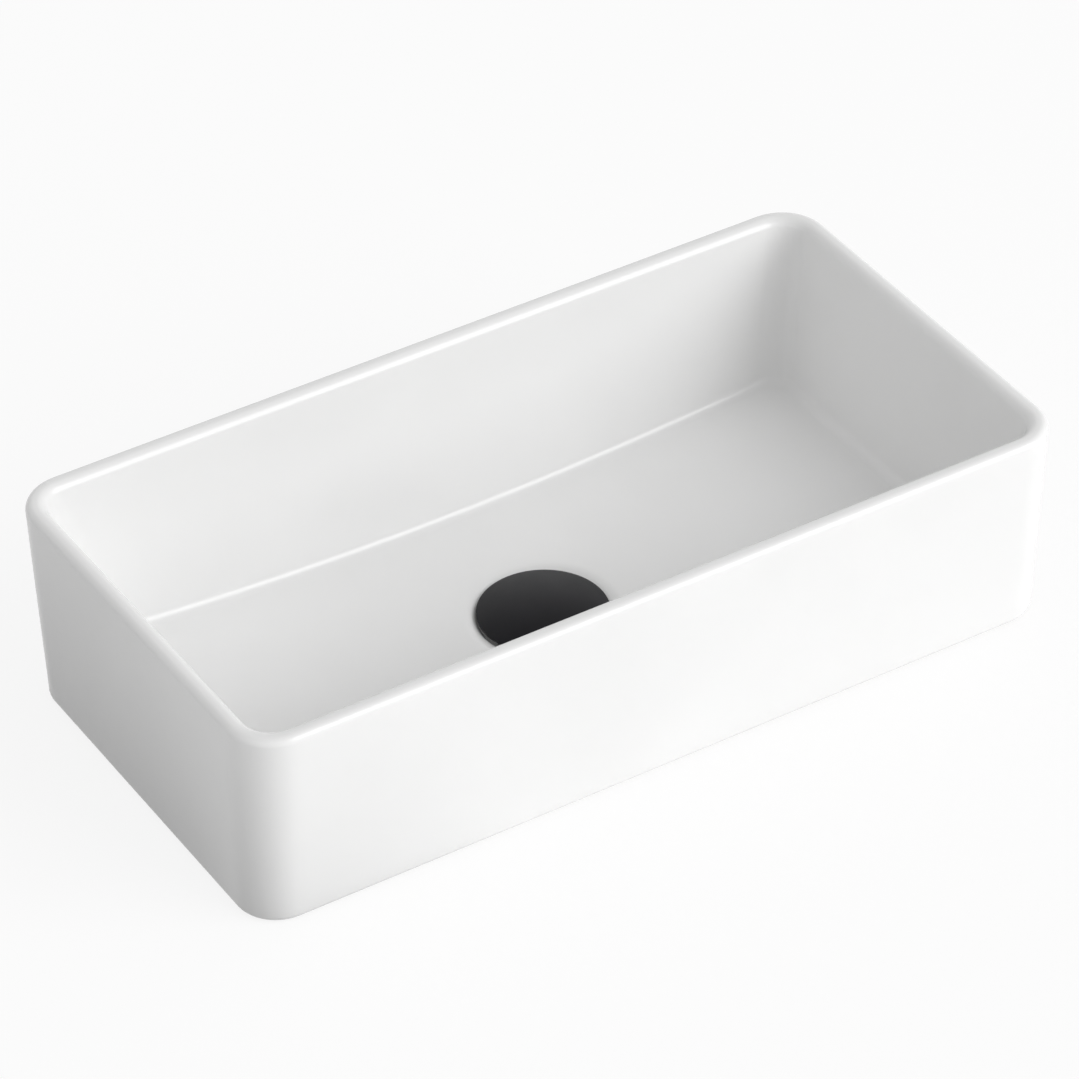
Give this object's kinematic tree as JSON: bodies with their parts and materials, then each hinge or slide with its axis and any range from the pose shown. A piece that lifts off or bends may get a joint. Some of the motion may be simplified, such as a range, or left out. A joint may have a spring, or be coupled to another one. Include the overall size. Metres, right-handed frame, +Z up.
{
  "type": "countertop basin",
  "caption": "Rectangular glazed vessel basin with a thin rounded rim, a sloping floor and a domed click-action waste clamped through its base.",
  "frame": {"origin": "centre of the basin's foot ring, on the plane that rests on the counter", "axes": "+Z up, +X along the basin's length, -Y towards the person who uses it"},
  "size_m": [0.4798, 0.2494, 0.1796],
  "materials": {
    "glazed_white": "gloss",
    "black_rubber": "matt",
    "black_lacquered_brass": "satin",
    "satin_black": "satin",
    "plain_brass": "satin",
    "white_polymer": "matt",
    "black_polymer": "matt",
    "spring_steel": "satin"
  },
  "bodies": {
    "basin": {"basin_bowl": "glazed_white", "flange_gasket": "black_rubber", "waste_body": "black_lacquered_brass", "under_washer": "black_rubber", "slip_washer": "white_polymer", "backnut": "plain_brass", "cartridge_barrel": "white_polymer", "guide_bush": "white_polymer", "cartridge_spring": "spring_steel"},
    "pop_up": {"cap": "satin_black", "plug_carrier": "black_polymer", "cap_seal": "black_rubber", "stem_nut": "plain_brass", "plunger": "plain_brass", "cartridge_rotor": "black_polymer"}
  },
  "joints": [
    {"name": "cap_lift", "type": "slide", "parent": "basin", "child": "pop_up", "axis": [0, 0, 1], "range_m": [0, 0.008], "deforming": ["cartridge_spring"]}
  ]
}
